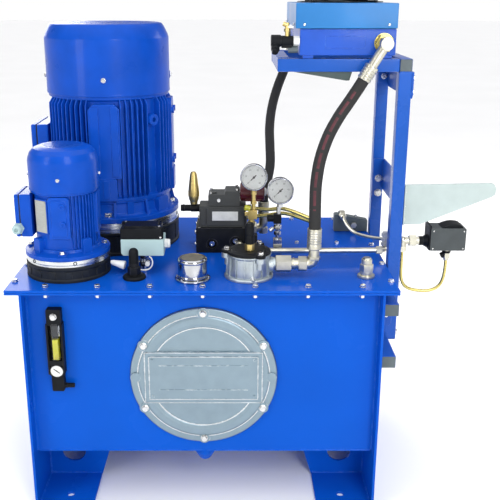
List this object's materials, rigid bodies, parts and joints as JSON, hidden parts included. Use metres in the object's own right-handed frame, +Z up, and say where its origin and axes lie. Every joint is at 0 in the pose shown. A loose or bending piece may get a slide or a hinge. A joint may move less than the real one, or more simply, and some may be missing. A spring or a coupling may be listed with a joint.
{
  "type": "hydraulic reservoir",
  "caption": "Steel oil tank on welded feet carrying upright motor-pump sets, a valve stack with dial gauges, filter, breather, level switch and an air-oil cooler on a side frame",
  "frame": {"origin": "Centre of the footprint of the whole unit at floor level, hoses left out", "axes": "+X to the right along the lid's long side, +Y from the inspection cover to the back, +Z up"},
  "size_m": [1.158, 0.625, 1.289],
  "materials": {
    "tank_blue": "semi-gloss blue paint on sheet steel",
    "cover_aluminium": "sand-cast, lightly machined",
    "gauge_black": "moulded black plastic",
    "gauge_glass": "clear, with yellow oil behind",
    "zinc": "zinc plated",
    "motor_blue": "blue enamel on cast aluminium",
    "rotor_steel": "ground steel",
    "fan_plastic": "moulded nylon",
    "bell_aluminium": "machined casting",
    "damping_rubber": "black elastomer",
    "pump_iron": "cast iron, oiled",
    "breather_chrome": "polished chrome plate",
    "filter_aluminium": "die-cast",
    "filter_black": "glass-filled nylon",
    "filter_bowl": "painted steel cup",
    "switch_grey": "pale grey-green housing",
    "float_foam": "closed-cell foam",
    "manifold_black": "black phosphate",
    "valve_grey": "dark grey casting",
    "solenoid_maroon": "moulded coil",
    "brass": "machined brass",
    "gauge_chrome": "polished steel case",
    "pointer_black": "black painted aluminium",
    "pressure_switch_black": "moulded housing",
    "frame_blue": "blue paint on square tube",
    "sheet_pale": "pale grey sheet",
    "cooler_blue": "blue paint on aluminium",
    "shroud_blue": "lighter blue paint on sheet",
    "cooler_motor": "dark grey paint",
    "hose_rubber": "wire-braided hydraulic hose cover"
  },
  "bodies": {
    "unit": {"drain_plug": "tank_blue", "tank_front_plate": "tank_blue", "tank_wrapper": "tank_blue", "tank_flange": "tank_blue", "tank_lid": "tank_blue", "tank_side_left": "tank_blue", "tank_side_right": "tank_blue", "inspection_cover": "cover_aluminium", "level_gauge": "gauge_black", "level_gauge_glass": "gauge_glass", "return_pipe": "zinc", "pressure_pipe": "zinc", "large_motor_flange": "motor_blue", "large_motor_housing": "motor_blue", "large_motor_fan_cover": "motor_blue", "large_motor_terminal_box": "motor_blue", "small_motor_housing": "motor_blue", "small_motor_fan_cover": "motor_blue", "small_motor_terminal_box": "motor_blue", "large_bellhousing": "bell_aluminium", "small_bellhousing": "bell_aluminium", "large_damping_ring": "damping_rubber", "small_damping_ring": "damping_rubber", "large_pump": "pump_iron", "small_pump": "pump_iron", "breather_neck": "breather_chrome", "filter_head": "filter_aluminium", "filter_cover": "filter_black", "clogging_indicator": "filter_black", "temperature_sensor": "filter_black", "filter_bowl": "filter_bowl", "level_switch": "switch_grey", "valve_manifold": "manifold_black", "control_valve": "valve_grey", "solenoid_coil": "solenoid_maroon", "drain_tube": "brass", "pressure_gauge_1": "gauge_chrome", "pressure_gauge_2": "gauge_chrome", "pressure_switch": "pressure_switch_black", "frame_rail_upper": "frame_blue", "frame_rail_lower": "frame_blue", "frame_post_front": "frame_blue", "frame_post_rear": "frame_blue", "frame_top": "frame_blue", "sheet_arm": "sheet_pale", "cooler_core": "cooler_blue", "cooler_shroud": "shroud_blue", "cooler_fan_motor": "cooler_motor", "hose_front": "hose_rubber", "hose_rear": "hose_rubber"},
    "large_rotor": {"large_motor_rotor": "rotor_steel", "large_motor_fan": "fan_plastic"},
    "small_rotor": {"small_motor_rotor": "rotor_steel", "small_motor_fan": "fan_plastic"},
    "cooler_fan_wheel": {"cooler_fan": "fan_plastic"},
    "gauge_1_needle": {"pressure_gauge_1_pointer": "pointer_black"},
    "gauge_2_needle": {"pressure_gauge_2_pointer": "pointer_black"},
    "filler_cap": {"breather_cap": "breather_chrome"},
    "float": {"level_switch_float": "float_foam"},
    "relief_knob": {"relief_valve_knob": "brass"}
  },
  "joints": [
    {"name": "large_motor_spin", "type": "hinge", "parent": "unit", "child": "large_rotor", "pos_m": [-0.3847, 0.1105, 0.777], "axis": [0, 0, 1], "continuous": true},
    {"name": "small_motor_spin", "type": "hinge", "parent": "unit", "child": "small_rotor", "pos_m": [-0.457, -0.169, 0.677], "axis": [0, 0, 1], "continuous": true},
    {"name": "cooler_fan_spin", "type": "hinge", "parent": "unit", "child": "cooler_fan_wheel", "pos_m": [0.2, 0.03, 1.167], "axis": [0, 0, 1], "continuous": true},
    {"name": "gauge_1_reading", "type": "hinge", "parent": "unit", "child": "gauge_1_needle", "pos_m": [-0.009, -0.0765, 0.785], "axis": [0, 1, 0], "range_deg": [0, 270]},
    {"name": "gauge_2_reading", "type": "hinge", "parent": "unit", "child": "gauge_2_needle", "pos_m": [0.057, -0.0765, 0.751], "axis": [0, 1, 0], "range_deg": [0, 270]},
    {"name": "filler_cap_turn", "type": "hinge", "parent": "unit", "child": "filler_cap", "pos_m": [-0.155, -0.2325, 0.607], "axis": [0, 0, 1], "range_deg": [0, 60]},
    {"name": "float_travel", "type": "slide", "parent": "unit", "child": "float", "axis": [0, 0, 1], "range_m": [-0.2, 0.015]},
    {"name": "relief_knob_turn", "type": "hinge", "parent": "unit", "child": "relief_knob", "pos_m": [-0.1618, -0.0005, 0.737], "axis": [0, 0, 1], "range_deg": [-360, 360]}
  ]
}
